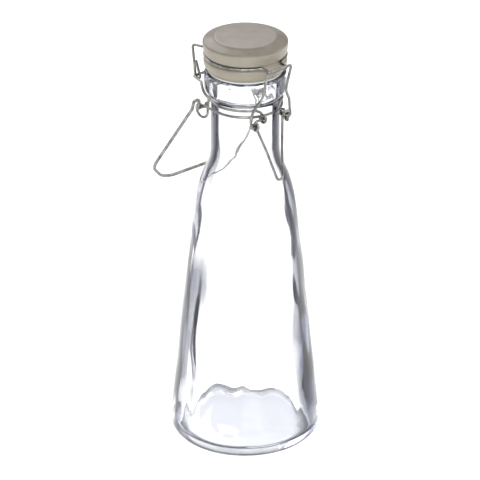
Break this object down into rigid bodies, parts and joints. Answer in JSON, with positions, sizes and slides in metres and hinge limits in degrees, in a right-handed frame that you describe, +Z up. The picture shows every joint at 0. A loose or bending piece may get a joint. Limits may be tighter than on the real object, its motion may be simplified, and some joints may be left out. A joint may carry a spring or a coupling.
{
  "type": "clip-top glass bottle",
  "caption": "Tapering clear glass bottle with a stopper lid on a seal, held by a wire latch and hinge, and a wire carrying handle that swings at its neck.",
  "frame": {"origin": "on the bottle's axis, at the plane of its flat foot", "axes": "+Z up along the bottle's axis; -Y is the latch side, +Y the lid hinge and handle side; all pivots run along X"},
  "size_m": [0.1004, 0.1047, 0.285],
  "materials": {
    "clear_glass": "clear pressed glass with softly rippled sides",
    "glazed_ceramic": "warm grey glaze, satin gloss",
    "white_silicone": "translucent white, matte",
    "steel_wire": "drawn steel wire, softly bright"
  },
  "bodies": {
    "bottle": {"glass_bottle": "clear_glass", "neck_wire": "steel_wire", "hinge_wire": "steel_wire"},
    "lid": {"stopper_lid": "glazed_ceramic", "seal_ring": "white_silicone", "lid_wire": "steel_wire"},
    "lever": {"latch_lever": "steel_wire"},
    "link": {"latch_link": "steel_wire"},
    "handle": {"carry_handle": "steel_wire"}
  },
  "joints": [
    {"name": "lid_hinge", "type": "hinge", "parent": "bottle", "child": "lid", "pos_m": [0, 0.028, 0.253], "axis": [-1, 0, 0], "range_deg": [0, 110]},
    {"name": "lever_pivot", "type": "hinge", "parent": "bottle", "child": "lever", "pos_m": [0, -0.02728, 0.238], "axis": [-1, 0, 0], "range_deg": [0, 150]},
    {"name": "link_pivot", "type": "hinge", "parent": "lever", "child": "link", "pos_m": [0, -0.02578, 0.233], "axis": [1, 0, 0], "range_deg": [0, 315]},
    {"name": "handle_pivot", "type": "hinge", "parent": "bottle", "child": "handle", "pos_m": [0, 0.0163, 0.2358], "axis": [1, 0, 0], "range_deg": [-15, 285]}
  ],
  "couplings": [
    {"joint": "lever_pivot", "follows": "lid_hinge", "ratio": 1.36},
    {"joint": "link_pivot", "follows": "lid_hinge", "ratio": 2.86}
  ]
}
